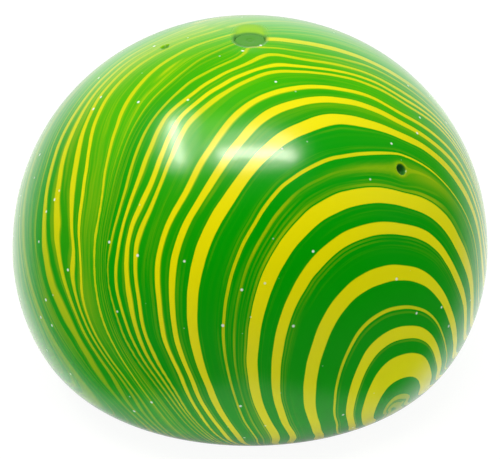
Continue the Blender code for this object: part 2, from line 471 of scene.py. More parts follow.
def ring_reach(directions):
    """Reach in millimetres along the lead line, and heading from it in degrees."""
    angle = np.arccos(np.clip(directions @ eye, -1.0, 1.0))
    heading = np.arctan2(directions @ eye_side, directions @ eye_up) - LEAD_HEADING
    heading = (heading + math.pi) % (2.0 * math.pi) - math.pi
    count = lopsided(angle, heading)
    lead_angle = np.linspace(0.0, math.pi, 2000)
    reach = np.interp(count, lopsided(lead_angle, 0.0), lead_angle)
    reach += BEYOND_SHARE * np.maximum(count - math.pi, 0.0)
    return MOULD_RADIUS * reach, np.degrees(heading)


skin_directions = moulded_direction(skin_moved)
reach, heading = ring_reach(skin_directions)
print("reach runs from", round(reach.min(), 1), "to", round(reach.max(), 1), "mm")

# %% [markdown]
# ## Swells in the rings
# A formula alone looks drawn with a compass. Real streaks swell and dip where the flow sped up or slowed
# down. Each row below is one such place, judged from the photograph: its heading and reach, how far
# it spreads in each, and by how many millimetres the rings move there. Close to the eye they die out.

# %% Local swells and dips
SWELLS = [
    (42, 17, 24, 10, 3.2), (8, 18, 12, 8, -0.9), (-46, 26, 15, 7, 2.4), (-88, 12, 28, 14, -3.0),
    (98, 40, 20, 18, -6.0), (-42, 48, 13, 3.2, -3.2), (-47, 39, 8, 3, 0.8), (18, 58, 9, 6, 1.7),
    (47, 57, 13, 6, -1.9), (55, 69, 8, 5, -3.2), (64, 61, 3, 6, 0.7), (-37, 62, 6, 5, 1.0),
    (-57, 57, 8, 7, -2.0), (-32, 69, 12, 4, 1.3), (-16, 71, 4.5, 2.5, -1.8), (76, 70, 7, 5, 2.0),
    (50, 79, 9, 4, 4.0), (95, 84, 13, 10, 9.0),
]
CALM_AT_EYE = 5.0


def heading_gap(headings, middle):
    """Difference of headings in degrees, the short way round."""
    return (headings - middle + 180.0) % 360.0 - 180.0


def bell(headings, reaches, place, middle, spread_heading, spread_reach):
    """A smooth hill, 1 high, at a heading and a reach."""
    turned = heading_gap(headings, place) / spread_heading
    climbed = (reaches - middle) / spread_reach
    return np.exp(-0.5 * turned ** 2 - 0.5 * climbed ** 2)


def swell(rows, headings, reaches):
    """Reaches moved by every row of a list of swells, which die out at the eye."""
    moved = reaches.copy()
    for place, middle, spread_heading, spread_reach, shift in rows:
        hill = bell(headings, reaches, place, middle, spread_heading, spread_reach)
        moved += shift * hill * ease(0.0, CALM_AT_EYE, reaches)
    return moved


swollen = swell(SWELLS, heading, reach)
print("largest swell:", round(np.abs(swollen - reach).max(), 1), "mm")

# %% Smaller ripples on top of the swells
RIPPLES = [
    (-50, 16, 12, 4, 0.5), (75, 16, 10, 5, 0.9), (32, 23, 9, 4, -0.4), (73, 25, 11, 6, 1.1),
    (-50, 26.5, 9, 4, 0.8), (76, 34, 9, 5, 1.1), (-48, 34.3, 7, 3, 0.7), (-31, 35, 5, 2.5, -0.35),
    (-37, 41, 6, 2, -0.5), (70, 40, 9, 3, 0.6), (-32, 47.8, 7, 1.5, -0.6), (60, 46.6, 7, 2, 0.6),
    (-44, 54.5, 4.5, 2, -1.2), (-17, 54, 5, 2, -0.7), (25, 54, 6, 2, -0.6), (-33, 57.2, 4, 1.5, 0.7),
    (29, 60.3, 5, 1.8, 1.0), (53, 60.3, 5, 1.8, 0.9), (-37, 66.5, 3, 2, -0.6), (-22, 66.5, 5, 2.5, 0.6),
    (18, 67, 4, 2.5, -0.75), (33, 65.5, 4, 2, 0.6), (44, 67, 3, 1.5, -0.5), (55, 64.8, 3.5, 2.2, 1.2),
    (66, 67.5, 2.5, 2.5, -0.9), (57, 70.2, 7, 1.6, -0.9), (58, 73.4, 6, 1.8, -1.6),
    (25, 71.5, 6, 1.2, -0.5), (16, 74.5, 7, 1.5, 0.6), (38, 77.6, 12, 2, 1.7), (-13, 84, 8, 4.5, 1.7),
    (2, 86.5, 8, 3, 1.0), (63, 82, 4, 2.5, 1.6), (70, 84.5, 6, 2.5, 1.4), (76, 92, 6, 3, -2.5),
    (-21, 75.6, 5, 2, -1.5), (-49, 73, 6, 1.5, 0.8),
]
swollen = swell(RIPPLES, heading, swollen)
print("largest move:", round(np.abs(swollen - reach).max(), 1), "mm")

# %% [markdown]
# ## Kinks and slack
# The last rows move single streaks, and bring the rings of the formula onto the streaks of the photograph
# to within a few pixels. Behind the eye the formula would crowd all rings together, but there the flow was
# slow and the rubber hung slack, with the rings far apart. So on that side the reach grows more slowly.

# %% Kinks of single streaks
KINKS = [
    (-63, 27, 8, 4, 0.6), (-61, 35, 6, 3.5, 0.45), (100, 44, 8, 8, -6.0), (96, 57, 7, 6, -3.5),
    (73, 35.5, 6, 2, -0.7), (66, 41, 8, 2, -0.5), (90, 27, 6, 3, 0.7), (90, 16, 8, 3, 0.9),
    (-29, 47.6, 4, 0.8, 0.5), (-37, 54.3, 3.5, 2.5, -0.9), (-15, 53.5, 9, 2, -0.35),
    (-52, 54, 8, 2, -0.6), (-25, 58.3, 16, 1.6, -0.45), (-36, 61, 3, 1.2, 0.4),
    (-30, 61.7, 3, 1.2, -0.4), (-42, 64.7, 5, 1, 0.7), (-27, 65.8, 7, 0.8, -0.3),
    (-10, 66, 4, 0.8, -0.4), (11, 66.1, 5, 0.8, -0.45), (-42, 66.5, 4, 0.8, 0.55),
    (-30, 67.4, 4, 0.6, -0.25), (10, 67.5, 5, 0.6, -0.15), (-47, 68.3, 5, 0.9, 0.8),
    (-34, 69.5, 4, 0.7, -0.35), (21, 69.5, 5, 0.7, -0.35), (-40, 72, 6, 0.9, -0.8),
    (9, 71.6, 4, 0.7, -0.35), (34, 75.5, 8, 0.9, 1.0), (12, 76.3, 8, 0.6, 0.4), (-7, 79.8, 7, 1, -0.4),
    (10, 85.5, 18, 0.8, -0.3), (9, 74.6, 5, 0.6, 0.4), (-10, 75.4, 4, 0.6, -0.35),
    (68, 72.8, 4, 1.0, -1.2), (56, 71.9, 4, 0.9, -0.5), (41, 70.8, 5, 0.8, 0.35),
    (69, 70.1, 3.5, 0.9, -0.6), (53, 67.4, 3.5, 0.7, -0.3), (68, 64.9, 3.5, 0.8, 0.6),
    (79, 66.4, 4, 0.9, -0.7), (67, 60.6, 3.5, 1.2, 0.6), (85, 62.5, 6, 1.5, -1.2),
    (48, 78.3, 4, 1.2, 0.9), (61, 78.4, 7, 1.2, 0.9), (71, 77.6, 4, 1.2, 1.0), (59, 85, 4.5, 1.6, 0.9),
    (80, 81, 6, 4.2, 3.7), (77, 87, 6, 1.8, 0.6), (83, 94, 5, 2.5, -1.2), (65, 85.5, 2.5, 1, -0.35),
    (-14, 72.6, 2.5, 1.0, -1.4), (72, 90.8, 6, 1.2, 0.7),
]
swollen = swell(KINKS, heading, swollen)
print("kinks:", len(KINKS))

# %% Slack behind the eye
SLACK, SLACK_ENDS = 0.92, (45.0, 115.0)
SLACK_ON_LEFT, SLACK_ON_RIGHT, FURTHER_OUT = (86.0, 178.0), (55.0, 150.0), (66.0, 140.0)
NEAR_TO_FAR = (15.0, 35.0)
far_out = ease(*NEAR_TO_FAR, swollen)
right_from, right_to = [
    near + (far - near) * far_out for near, far in zip(SLACK_ON_RIGHT, FURTHER_OUT)
]
behind_eye = np.maximum(ease(right_from, right_to, -heading), ease(*SLACK_ON_LEFT, heading))
swollen *= 1.0 - SLACK * behind_eye * (1.0 - ease(*SLACK_ENDS, swollen))
print("behind the eye the rings lie up to", round(1.0 / (1.0 - SLACK), 1), "times as far apart")

# %% [markdown]
# ## Streaks part round the pins
# A stream parts round a post and closes again behind it, and so did the rubber round the pins that left
# the pits. The old formula for flow round a cylinder does it: close to the pin every streak is pushed
# aside, and a few radii away nothing has changed.

# %% Part the streaks
PIN_WIDTHS = {"front_pit": 1.1, "rear_pit": 0.6}
for name, pin in PIN_WIDTHS.items():
    pin_centre = skin_place(*PITS[name][:2])[0]
    gap = np.linalg.norm(skin_rest - pin_centre, axis=1)
    at_pin = swollen[np.argmin(gap)]
    passing = 1.0 - (pin / np.maximum(gap, pin)) ** 2
    swollen = at_pin + (swollen - at_pin) * passing
    print(name, "stands at reach", round(at_pin, 1), "mm")

# %% [markdown]
# ## Where the colours mixed
# Between the clean streaks lie cloudy places. In a smear a little yellow went into the green, as it did
# round the front pit. Over the crown, and in some patches, the whole green is a paler lime, except in a few
# dark patches. In a thinned place the streaks themselves lose their yellow. Each row is a heading, a reach,
# how far the place spreads in each, and its strength.

# %% Smears, lime green and thinned streaks
SMEARS = [
    (-37, 44.5, 7, 0.8, 0.30), (-20, 44.8, 9, 0.4, 0.28), (10, 77.4, 4, 0.18, 0.55),
    (-20, 70, 25, 3, 0.05), (2, 80, 18, 5, 0.10), (45, 81, 14, 1.2, 0.04), (66, 81.8, 4, 1.2, 0.18),
    (-30, 57, 24, 1.2, 0.08), (4, 85.6, 26, 2.8, 0.26),
]
LIME_PATCHES = [
    (-34, 64, 12, 8, 0.85), (-2, 64.5, 22, 5, 0.7), (11, 63.2, 6, 2, 0.9), (-20, 71, 26, 4, 0.7),
    (-48, 57, 12, 9, 0.5),
]
DARK_PATCHES = [(56, 74.8, 12, 1.5, 1.0), (72, 87, 8, 4, 0.8)]
THINNED = [
    (-2, 86, 20, 5, 0.6), (-8, 79.8, 8, 1, 0.4), (54, 75.8, 17, 1.7, 0.85), (-48, 85, 22, 7, 0.75),
    (40, 96, 70, 4, 0.75), (55, 47.1, 28, 0.6, 0.45), (-60, 73.9, 8, 1.5, 0.8), (84, 68, 8, 4, 0.6),
    (88, 85, 12, 8, 0.72), (73, 69, 8, 4, 0.45), (89, 91, 9, 3.5, 0.9), (98, 99, 18, 6, 0.9),
]


def patches(rows):
    """The strongest of a list of bells, at every vertex."""
    level = np.zeros(len(swollen))
    for *place, strength in rows:
        level = np.maximum(level, strength * bell(heading, swollen, *place))
    return level


RIM_SMEAR = 0.40
LIME_LEVEL, LIME_FROM, LIME_TO, LIME_LOSS = 0.75, (72.5, 76.5), (97.0, 115.0), 0.5
LEFT_SIDE, LEFT_LOSS, LEFT_TOP, LEFT_TOP_LOSS = (30.0, 55.0), 0.60, (81.5, 84.0), 0.3
smear = np.maximum(patches(SMEARS), RIM_SMEAR * pit_ring)
thinned = patches(THINNED)
lime = LIME_LEVEL * ease(*LIME_FROM, swollen) * (1.0 - LIME_LOSS * ease(*LIME_TO, swollen))
lime *= 1.0 - patches(DARK_PATCHES)
lime *= 1.0 - ease(*LEFT_SIDE, heading) * (LEFT_LOSS + LEFT_TOP_LOSS * ease(*LEFT_TOP, swollen))
lime = np.maximum(lime, patches(LIME_PATCHES))
print("share of vertices in lime green:", round(float((lime > 0.5 * LIME_LEVEL).mean()), 2))

# %% [markdown]
# ## Marks at the seam and at the plug
# A seam runs down from the plug, and the streaks differ on its two sides, so we mark the right one. Round
# the neck we mark two more places: the mouth, which is the pale slope behind the plug, and the rubber round
# the plug's head, where a dull green is painted in as shade.

# %% Seam, mouth and painted shade round the plug
SEAM_HEADINGS, SEAM_ENDS = (-22.0, -14.0), (-172.0, -150.0)
NECK_ZONE, UNDER_SEAT = 2.0, 0.1
MOUTH_INNER, MOUTH_OUTER, MOUTH_BACK = -0.7, 1.5, (-0.1, 0.7)
PLUG_EDGE, PLUG_LEFT, PLUG_BACK = (2.3, 3.0), 0.1, 0.2
seam_side = (1.0 - ease(*SEAM_HEADINGS, heading)) * ease(*SEAM_ENDS, heading)
in_neck = (skin_radius < lip_outer + NECK_ZONE) & (skin_height > NECK_SEAT - UNDER_SEAT)
mouth_edge = 1.0 - ease(lip_outer + MOUTH_INNER, lip_outer + MOUTH_OUTER, skin_radius)
mouth = np.where(in_neck, mouth_edge, 0.0) * ease(*MOUTH_BACK, backness)
# Painted shade: round the plug's head the skin fades toward a dull green, the shade of the dimple.
from_plug = np.hypot(skin_moved[:, 0] + PLUG_LEFT, skin_moved[:, 1] - PLUG_BACK)
shade_round_plug = np.where(in_neck, 1.0 - ease(*PLUG_EDGE, from_plug), 0.0)
lime = np.maximum(lime, mouth)
print("vertices round the neck:", int(in_neck.sum()))

# %% Store the marbling on the mesh
marbling = {
    "ring_reach": swollen, "seam_side": seam_side, "smear": smear, "pit_shade": pit_shade,
    "mouth": mouth, "shade_round_plug": shade_round_plug, "lime": lime, "thinned": thinned,
}
for name, values in marbling.items():
    layer = skin.data.attributes.new(name, "FLOAT", "POINT")
    layer.data.foreach_set("value", values.astype(np.float32))
    print(name, "from", round(float(values.min()), 2), "to", round(float(values.max()), 2))

# %% [markdown]
# ## The streaks themselves
# Each streak is a start and an end in millimetres of reach, a strength from 0, all green, to 1, all
# yellow, and the width of the olive lead-in on the side of the eye, where the colours mixed. A Color Ramp
# draws them exactly, but it is sampled in 256 steps, so we cut the reach into pages of 8 to 16 mm with one
# ramp each. The seam under the plug has different streaks on its two sides, so some pages hold one side.

# %% Pages of streaks: start, end, strength, lead-in
WHOLE, LEFT, RIGHT = "whole ring", "left of the seam", "right of the seam"
PAGES = [
    (WHOLE, 0.0, 14.6, [(0.7, 1.9, 0.6, 0.3), (2.05, 2.55, 0.2, 0.1), (2.7, 3.9, 0.6, 0.1),
                        (8.0, 12.9, 1.0, 0.1)]),
    (WHOLE, 14.6, 24.0, [(15.3, 15.6, 0.2, 0.1), (15.9, 18.2, 1.0, 0.1), (20.6, 20.9, 0.1, 0.1),
                         (21.4, 21.9, 0.8, 0.1)]),
    (WHOLE, 24.0, 37.6, [(26.4, 28.9, 1.0, 0.1), (32.9, 33.1, 0.1, 0.1), (33.5, 33.7, 0.14, 0.1),
                         (34.1, 36.0, 1.0, 0.1)]),
    (WHOLE, 37.6, 50.0, [(39.2, 41.7, 1.0, 0.1), (42.05, 42.4, 0.35, 0.1), (42.9, 43.1, 0.12, 0.1),
                         (43.7, 43.9, 0.1, 0.1), (44.7, 45.0, 0.4, 0.2), (46.85, 47.35, 0.9, 0.1),
                         (48.0, 48.3, 0.12, 0.1)]),
    (WHOLE, 50.0, 64.3, [(51.4, 51.6, 0.08, 0.1), (52.2, 54.3, 1.0, 0.1), (56.4, 56.8, 0.16, 0.2),
                         (57.3, 58.65, 1.0, 0.2), (60.95, 61.75, 1.0, 0.3), (62.3, 62.7, 0.1, 0.1)]),
    (WHOLE, 64.3, 72.4, [(65.2, 65.75, 0.9, 0.2), (66.8, 67.45, 0.95, 0.2), (68.9, 69.4, 0.85, 0.2),
                         (71.05, 71.4, 0.65, 0.2)]),
    (LEFT, 72.4, 82.0, [(73.4, 73.6, 0.12, 0.1), (74.85, 75.2, 0.5, 0.1), (76.6, 76.85, 0.4, 0.1),
                        (79.1, 79.65, 0.85, 0.2), (80.8, 81.0, 0.2, 0.1)]),
    (LEFT, 82.0, 93.5, [(83.1, 83.65, 0.95, 0.2), (84.9, 85.4, 0.92, 0.2), (86.8, 87.3, 0.88, 0.2),
                        (88.6, 89.1, 0.85, 0.2), (90.4, 90.7, 0.4, 0.1), (92.0, 92.2, 0.25, 0.1)]),
    (RIGHT, 72.4, 82.0, [(73.4, 74.5, 0.95, 0.2), (76.6, 76.9, 0.25, 0.2), (78.4, 78.8, 0.35, 0.2),
                         (80.3, 80.5, 0.25, 0.1)]),
    (RIGHT, 82.0, 93.5, [(83.0, 83.8, 0.7, 0.3), (86.2, 86.6, 0.5, 0.2), (89.5, 90.6, 0.8, 0.3)]),
    (WHOLE, 93.5, 108.8, [(95.2, 96.3, 0.8, 0.4), (98.0, 98.4, 0.6, 0.2), (99.6, 100.0, 0.5, 0.1),
                          (102.5, 104.0, 1.0, 0.5), (105.6, 106.0, 0.6, 0.2), (107.4, 107.7, 0.4, 0.1)]),
    (WHOLE, 108.8, 125.0, [(110.3, 111.9, 1.0, 0.5), (113.6, 114.1, 0.7, 0.2), (115.3, 115.6, 0.4, 0.1),
                           (117.8, 119.0, 1.0, 0.4), (121.0, 121.4, 0.6, 0.2)]),
]
OLIVE, OLIVE_FROM, OLIVE_FADE = 0.18, 0.15, 1.6
SOFT_EDGE = 0.12


def streak_stops(streaks):
    """Ramp stops (reach, strength) for a page of streaks, in order. A short lead-in is only a soft edge."""
    stops = []
    for start, end, strength, lead_in in streaks:
        olive = min(OLIVE, 0.5 * strength) if lead_in > OLIVE_FROM else 0.0
        stops += [(start - lead_in, olive), (start, strength), (end, strength), (end + SOFT_EDGE, 0.0)]
        if olive:
            stops += [(start - OLIVE_FADE * lead_in, 0.0)]
    return sorted(stops)


print("pages:", len(PAGES), "streaks:", sum(len(page[3]) for page in PAGES))

# %% [markdown]
# ## Moulded thermoplastic rubber, marbled
# Thermoplastic rubber is a soft styrene compound, pigmented through. Moulded against a polished steel
# face it comes out smooth, so the eye sees a soft-edged gloss, and at a glancing angle a pale bloom,
# because the surface is dusted with talc to keep it from sticking. The gloss comes from IOR and roughness,
# the bloom from sheen, and the marbling from the reach that the mesh carries. First we turn that reach into
# a share of yellow, from 0 to 1.

# %% Rubber material, with what the mesh carries
WAVER_SIZE, WAVER = 6.0, 0.5
rubber, tree, rubber_shader = new_material("marbled_thermoplastic_rubber_moulded")
place_on_ball = add_node(tree, "ShaderNodeTexCoord").outputs["Object"]
stored = {
    name: add_node(tree, "ShaderNodeAttribute", attribute_name=name).outputs["Fac"] for name in marbling
}
waver = add_node(
    tree, "ShaderNodeTexNoise", {"Vector": place_on_ball, "Scale": 1.0 / (WAVER_SIZE * MM), "Detail": 1.0}
)
waver_mm = add_node(
    tree, "ShaderNodeMapRange", {"Value": waver, "To Min": -0.5 * WAVER, "To Max": 0.5 * WAVER}
)
wavering_reach = add_node(tree, "ShaderNodeMath", {0: stored["ring_reach"], 1: waver_mm}, operation="ADD")
left_side = add_node(tree, "ShaderNodeMath", {0: 1.0, 1: stored["seam_side"]}, operation="SUBTRACT")
side_masks = {LEFT: left_side, RIGHT: stored["seam_side"]}
print("streak edges waver by", 0.5 * WAVER, "mm over", WAVER_SIZE, "mm")

# %% One ramp for each page
def fill_ramp(ramp, stops, start, end):
    """Gives a colour ramp its grey stops (reach, level), where the ramp runs from one reach to another."""
    while len(ramp.elements) < len(stops):
        ramp.elements.new(1.0)
    for element, (stop_reach, level) in zip(ramp.elements, stops):
        element.position = (stop_reach - start) / (end - start)
        element.color = (level, level, level, 1.0)


yellow_share = 0.0
for side, page_start, page_end, streaks in PAGES:
    on_page = add_node(
        tree, "ShaderNodeMapRange", {"Value": wavering_reach, "From Min": page_start, "From Max": page_end}
    )
    page_share = add_node(tree, "ShaderNodeValToRGB", {"Fac": on_page})
    stops = [(page_start, 0.0), *streak_stops(streaks), (page_end, 0.0)]
    fill_ramp(page_share.color_ramp, stops, page_start, page_end)
    if side in side_masks:
        page_share = add_node(
            tree, "ShaderNodeMath", {0: page_share, 1: side_masks[side]}, operation="MULTIPLY"
        )
    yellow_share = add_node(tree, "ShaderNodeMath", {0: yellow_share, 1: page_share}, operation="MAXIMUM")
print("most stops on a page:", max(len(streak_stops(page[3])) + 2 for page in PAGES))

# %% [markdown]
# ## Fading and hair-fine streaks
# A strong streak keeps its colour all along, but a thin one comes and goes. A slow noise takes strength
# from a streak in proportion to how weak it is already, and the thinned places take it from any streak.
# Between the streaks the green isn't quite clean: stretched noise, drawn out along the rings, adds
# hair-fine lines where the photograph shows them. The mouth of the neck is one even mixture.

# %% Fade the weak streaks
FADE_LENGTH, FADE_RANGE = 13.0, (0.35, 0.62)
slow = add_node(
    tree, "ShaderNodeTexNoise", {"Vector": place_on_ball, "Scale": 1.0 / (FADE_LENGTH * MM), "Detail": 1.0}
)
fading = add_node(
    tree, "ShaderNodeMapRange",
    {"Value": slow, "From Min": FADE_RANGE[0], "From Max": FADE_RANGE[1], "To Min": 1.0, "To Max": 0.0},
)
weakness = add_node(tree, "ShaderNodeMath", {0: 1.0, 1: yellow_share}, operation="SUBTRACT")
faded = add_node(tree, "ShaderNodeMath", {0: weakness, 1: fading}, operation="MULTIPLY")
loss = add_node(tree, "ShaderNodeMath", {0: faded, 1: stored["thinned"]}, operation="MAXIMUM")
kept = add_node(tree, "ShaderNodeMath", {0: 1.0, 1: loss}, operation="SUBTRACT")
yellow_share = add_node(tree, "ShaderNodeMath", {0: yellow_share, 1: kept}, operation="MULTIPLY")
print("weak streaks fade over", FADE_LENGTH, "mm")

# %% Hair-fine streaks: reach and level of each zone
REACH_END = 125.0
HAIR_ZONES = [
    (0, 0.0), (31, 0.0), (32.6, 0.05), (34, 0.0), (41.6, 0.06), (48.4, 0.06), (49, 0.0), (56, 0.04),
    (60, 0.04), (62, 0.06), (75, 0.18), (79, 0.18), (83, 0.14), (90, 0.20), (125, 0.20),
]
HAIR_WIDTH, HAIR_LENGTH, HAIR_RANGE = 0.55, 24.0, (0.48, 0.68)
whole_reach = add_node(
    tree, "ShaderNodeMapRange", {"Value": wavering_reach, "From Min": 0.0, "From Max": REACH_END}
)
hair_level = add_node(tree, "ShaderNodeValToRGB", {"Fac": whole_reach})
fill_ramp(hair_level.color_ramp, HAIR_ZONES, 0.0, REACH_END)
along_streak = add_node(
    tree, "ShaderNodeVectorMath", {0: place_on_ball, "Scale": 1.0 / (HAIR_LENGTH * MM)}, operation="SCALE"
)
across_streak = add_node(
    tree, "ShaderNodeMath", {0: wavering_reach, 1: 1.0 / HAIR_WIDTH}, operation="MULTIPLY"
)
hairs = add_node(
    tree, "ShaderNodeTexNoise",
    {"Vector": along_streak, "W": across_streak, "Scale": 1.0, "Detail": 2.0}, noise_dimensions="4D",
)
hair_lines = add_node(
    tree, "ShaderNodeMapRange",
    {"Value": hairs, "From Min": HAIR_RANGE[0], "From Max": HAIR_RANGE[1]}, interpolation_type="SMOOTHSTEP",
)
print("hair-fine streaks about", HAIR_WIDTH, "mm wide")

# %% Add the hairs, the smears and the mouth to the share of yellow
MOUTH_SHARE = 0.32
mixed_share = add_node(
    tree, "ShaderNodeMath", {0: hair_lines, 1: hair_level, 2: stored["smear"]}, operation="MULTIPLY_ADD",
    use_clamp=True,
)
streaked_share = add_node(tree, "ShaderNodeMath", {0: yellow_share, 1: mixed_share}, operation="MAXIMUM")
yellow_share = add_node(
    tree, "ShaderNodeMix", {0: stored["mouth"], 2: streaked_share, 3: MOUTH_SHARE}, data_type="FLOAT"
)
print("share of yellow in the mouth of the neck:", MOUTH_SHARE)

# %% [markdown]
# ## Colour and dust
# Now the share mixes the two colours. Where the green is lime, the yellow is a thinner one too. Shade is
# painted into the pits and round the plug's head, as darker dull greens. The tacky surface also picks up
# specks of dust, white dots about half a millimetre across. A 3D Voronoi pattern gives about one point for
# each 3.4 mm cell; only points that happen to lie close to the surface show, which scatters the specks
# unevenly, as real dust is.

# %% Colour of the rubber
GREEN_RUBBER, LIME_RUBBER = "009800", "48b200"
YELLOW_RUBBER, THIN_YELLOW = "eadc00", "d6d200"
PIT_SHADE_GREEN, PLUG_SHADE_GREEN, DUST_WHITE = "2c7a28", "468c24", "e4e8e2"
DUST_CELL, DUST_RADIUS = 3.4, 0.28
greens = add_node(
    tree, "ShaderNodeMix",
    {0: stored["lime"], 6: hex_to_linear(GREEN_RUBBER), 7: hex_to_linear(LIME_RUBBER)}, data_type="RGBA",
)
yellows = add_node(
    tree, "ShaderNodeMix",
    {0: stored["lime"], 6: hex_to_linear(YELLOW_RUBBER), 7: hex_to_linear(THIN_YELLOW)}, data_type="RGBA",
)
colour = add_node(tree, "ShaderNodeMix", {0: yellow_share, 6: greens, 7: yellows}, data_type="RGBA")
specks = add_node(
    tree, "ShaderNodeTexVoronoi", {"Vector": place_on_ball, "Scale": 1.0 / (DUST_CELL * MM)}, feature="F1"
)
dust = add_node(
    tree, "ShaderNodeMapRange",
    {"Value": specks, "From Min": DUST_RADIUS / DUST_CELL, "From Max": 0.5 * DUST_RADIUS / DUST_CELL},
)
# Painted shade: the pits and the rubber round the plug's head are mixed toward darker greens; the dust
# specks are real dust.
for cover, cover_colour in (
    (stored["pit_shade"], PIT_SHADE_GREEN), (stored["shade_round_plug"], PLUG_SHADE_GREEN), (dust, DUST_WHITE),
):
    colour = add_node(
        tree, "ShaderNodeMix", {0: cover, 6: colour, 7: hex_to_linear(cover_colour)}, data_type="RGBA"
    )
print("dust specks up to", 2.0 * DUST_RADIUS, "mm across")

# %% [markdown]
# ## Gloss and bloom
# Handling leaves smudges, patches about 9 mm wide where the gloss is a little duller. Dust and the rubber
# round the plug are duller still, and the talc is rubbed off at the plug. A very shallow orange-peel bump
# breaks the edges of the highlights, as a rubber moulding's skin does.

# %% Gloss and bloom of the rubber
SMUDGE_SIZE, CLEAN_GLOSS, SMUDGED_GLOSS, DULLER = 9.0, 0.12, 0.22, 0.45
PEEL_SIZE, PEEL_HEIGHT = 1.6, 0.008
TALC, TALC_ROUGHNESS, TALC_WHITE, RUBBER_IOR = 0.50, 0.25, "fcfff4", 1.55
smudges = add_node(
    tree, "ShaderNodeTexNoise", {"Vector": place_on_ball, "Scale": 1.0 / (SMUDGE_SIZE * MM), "Detail": 3.0}
)
gloss = add_node(
    tree, "ShaderNodeMapRange", {"Value": smudges, "To Min": CLEAN_GLOSS, "To Max": SMUDGED_GLOSS}
)
near_plug = add_node(
    tree, "ShaderNodeMath", {0: stored["shade_round_plug"], 1: stored["mouth"]}, operation="MAXIMUM"
)
dull = add_node(tree, "ShaderNodeMath", {0: dust, 1: near_plug}, operation="MAXIMUM")
roughness = add_node(tree, "ShaderNodeMath", {0: dull, 1: DULLER, 2: gloss}, operation="MULTIPLY_ADD")
peel = add_node(
    tree, "ShaderNodeTexNoise", {"Vector": place_on_ball, "Scale": 1.0 / (PEEL_SIZE * MM), "Detail": 2.0}
)
peel_bump = add_node(
    tree, "ShaderNodeBump", {"Height": peel, "Strength": 1.0, "Distance": PEEL_HEIGHT * MM}
)
talc = add_node(
    tree, "ShaderNodeMapRange", {"Value": stored["shade_round_plug"], "To Min": TALC, "To Max": 0.0}
)
wire(tree, rubber_shader, {
    "Base Color": colour, "Roughness": roughness, "Normal": peel_bump, "IOR": RUBBER_IOR,
    "Sheen Weight": talc, "Sheen Roughness": TALC_ROUGHNESS, "Sheen Tint": hex_to_linear(TALC_WHITE),
})
skin.data.materials.append(rubber)
print("nodes in the rubber:", len(tree.nodes))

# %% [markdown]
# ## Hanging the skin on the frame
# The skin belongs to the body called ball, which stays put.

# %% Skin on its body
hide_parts("marbled_skin")
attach(skin, "ball")
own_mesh(skin)

# %% [markdown]
# ## The gel inside
# The filling can't be seen, but it gives the ball its weight, so it is there: a clear, slightly yellow
# gel poured up to the neck, with an air pocket left under the plug. Its corners are rounded as a liquid's
# edge is, where it wets the skin. Poured polymer gel looks wet and see-through, and small trapped bubbles
# show in it as paler dots.

# %% Gel with its air pocket
POCKET_DEPTH = 14.5
POCKET_RADIUS, POCKET_FLOOR = COLLAR_RADIUS + FIT_GAP, CROWN_HEIGHT - POCKET_DEPTH
GEL_STEP, GEL_FILLET, GEL_SEGMENTS = 1.6, 1.4, 96
gel_outline = sagged_outline(SKIN_WALL + FIT_GAP)
gel_outside = even_steps(part_beyond(gel_outline, POCKET_RADIUS), GEL_STEP)
pocket = filleted([
    (0.0, POCKET_FLOOR), (POCKET_RADIUS, POCKET_FLOOR), gel_outside[0], gel_outside[2],
], GEL_FILLET)
gel = turned_mesh("poured_gel_filling", np.concatenate([pocket, gel_outside[3:]]), GEL_SEGMENTS)
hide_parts("gel_filling")
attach(gel, "ball")
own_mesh(gel)
print("gel faces:", len(gel.data.polygons))

# %% Gel material
BUBBLE_CELL, BUBBLE_RADIUS, BUBBLE_CORE = 3.0, 0.36, 0.24
GEL_CLEAR, BUBBLE_WHITE = "e6e0b4", "f8f6e8"
gel_material, tree, gel_shader = new_material("clear_polymer_gel_poured")
place_in_gel = add_node(tree, "ShaderNodeTexCoord").outputs["Object"]
bubbles = add_node(
    tree, "ShaderNodeTexVoronoi", {"Vector": place_in_gel, "Scale": 1.0 / (BUBBLE_CELL * MM)}, feature="F1"
)
bubble_mark = add_node(
    tree, "ShaderNodeMapRange",
    {"Value": bubbles, "From Min": BUBBLE_RADIUS / BUBBLE_CELL, "From Max": BUBBLE_CORE / BUBBLE_CELL},
)
gel_colour = add_node(
    tree, "ShaderNodeMix", {0: bubble_mark, 6: hex_to_linear(GEL_CLEAR), 7: hex_to_linear(BUBBLE_WHITE)},
    data_type="RGBA",
)
wire(tree, gel_shader, {
    "Base Color": gel_colour, "Roughness": 0.08, "IOR": 1.41, "Transmission Weight": 0.7,
})
gel.data.materials.append(gel_material)
print("bubbles up to", 2.0 * BUBBLE_RADIUS, "mm across")

# %% [markdown]
# ## The fill plug
# Once the gel is in, a barbed rubber plug is pushed down the neck and glued. Only its round head shows,
# level with the crown. It is turned like the skin: a flat head with a shallow ring in it, a stem, and a
# barb that can't come back up through the bore. The head bulges a little, to close on the lip round it.

